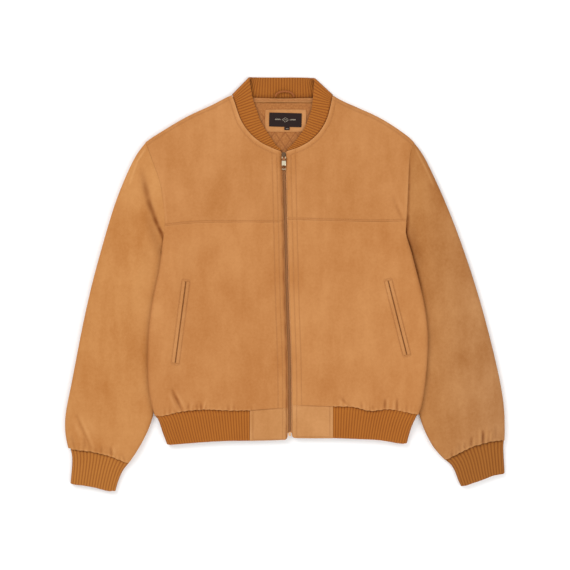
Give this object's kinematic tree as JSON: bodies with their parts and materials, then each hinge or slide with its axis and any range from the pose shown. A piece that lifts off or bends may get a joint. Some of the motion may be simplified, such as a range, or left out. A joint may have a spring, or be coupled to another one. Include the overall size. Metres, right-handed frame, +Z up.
{
  "type": "suede bomber jacket",
  "caption": "Zipped bomber jacket in suede with rib-knit collar, cuffs and hem, welt pockets and a quilted lining, laid flat on its back.",
  "frame": {"origin": "centre of the underside's bounding box, on the surface the jacket lies on", "axes": "+X to the wearer's left, +Y from hem to collar, +Z up out of the front"},
  "size_m": [0.8446, 0.7957, 0.0228],
  "materials": {
    "suede": "napped suede",
    "rib_knit": "ribbed wool knit",
    "lining": "quilted satin lining",
    "label_black": "woven label, bare",
    "zip_tape": "woven tape",
    "brass": "antique brass"
  },
  "bodies": {
    "jacket": {"front_yoke_right": "suede", "front_yoke_left": "suede", "front_right": "suede", "front_left": "suede", "back_panel": "suede", "sleeve_right": "suede", "sleeve_left": "suede", "cuff_right": "rib_knit", "cuff_left": "rib_knit", "hem_rib": "rib_knit", "hem_tab_right": "suede", "hem_tab_left": "suede", "collar_rib": "rib_knit", "back_lining": "lining", "neck_tape": "lining", "label_patch": "suede", "label": "label_black", "size_tab": "label_black", "hanger_loop": "suede", "pocket_right_outer_welt": "suede", "pocket_right_inner_welt": "suede", "pocket_left_outer_welt": "suede", "pocket_left_inner_welt": "suede", "zip_tape_right": "zip_tape", "zip_tape_left": "zip_tape", "zip_chain": "brass", "zip_slider": "brass", "zip_box": "brass"},
    "pull_tab": {"zip_pull_tab": "brass"}
  },
  "joints": [
    {"name": "pull_tab_hinge", "type": "hinge", "parent": "jacket", "child": "pull_tab", "pos_m": [-0.0016, 0.2416, 0.016], "axis": [-1, 0, 0], "range_deg": [0, 150]}
  ]
}
